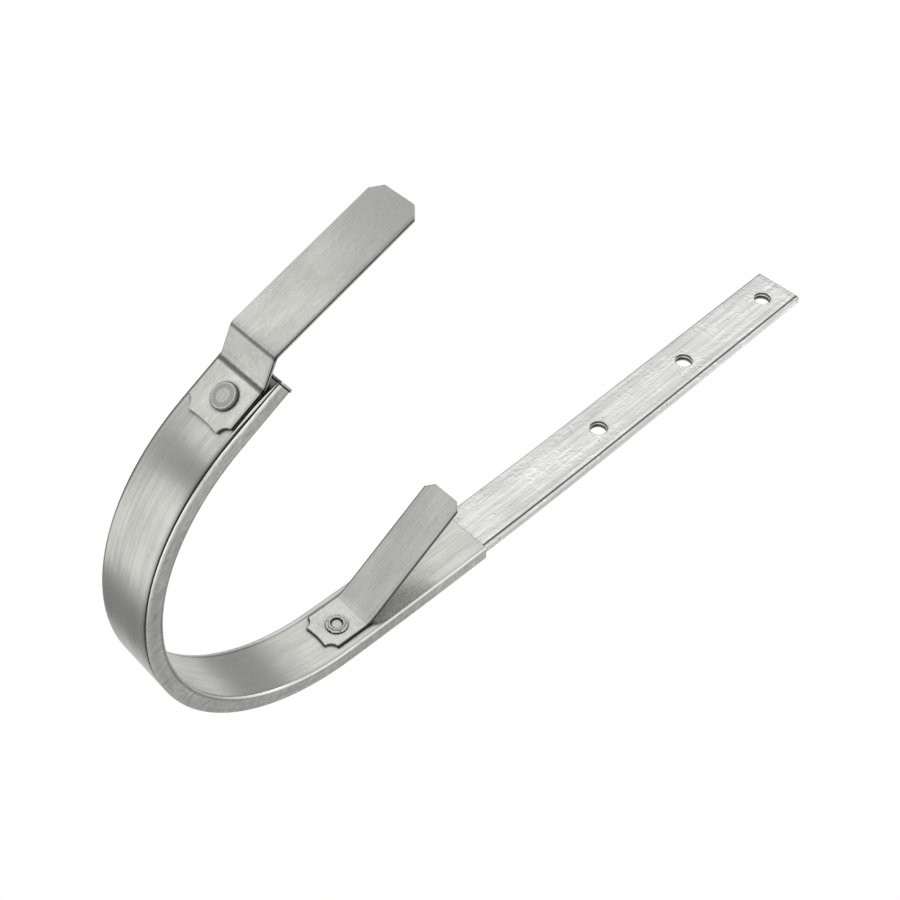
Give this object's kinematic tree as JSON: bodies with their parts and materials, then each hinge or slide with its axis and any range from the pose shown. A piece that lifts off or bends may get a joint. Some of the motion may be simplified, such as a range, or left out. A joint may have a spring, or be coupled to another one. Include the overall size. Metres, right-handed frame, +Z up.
{
  "type": "gutter bracket",
  "caption": "Flat galvanised bar bent to a half-round gutter hook, its hook jacketed in folded sheet zinc, with a riveted tongue spring at each end of the hook.",
  "frame": {"origin": "centre of the middle nail hole, on the back face of the bar, which is the face that lies against the fascia or rafter", "axes": "+X along the gutter, towards the jacket's open seam; +Y into the wall, square to the bar's back face; +Z up along the shank"},
  "size_m": [0.027, 0.2048, 0.371],
  "materials": {
    "galvanised_bar": "hot-dip galvanised, streaky and slightly mottled",
    "sheet_zinc": "bright rolled zinc, satin, brushed along its length",
    "spring_sheet": "rolled sheet, satin, brushed",
    "rivet_steel": "zinc-plated steel, satin"
  },
  "bodies": {
    "root": {"steel_bar": "galvanised_bar", "zinc_jacket": "sheet_zinc", "front_spring": "spring_sheet", "rear_spring": "spring_sheet", "front_rivet": "rivet_steel", "rear_rivet": "rivet_steel"}
  },
  "joints": []
}
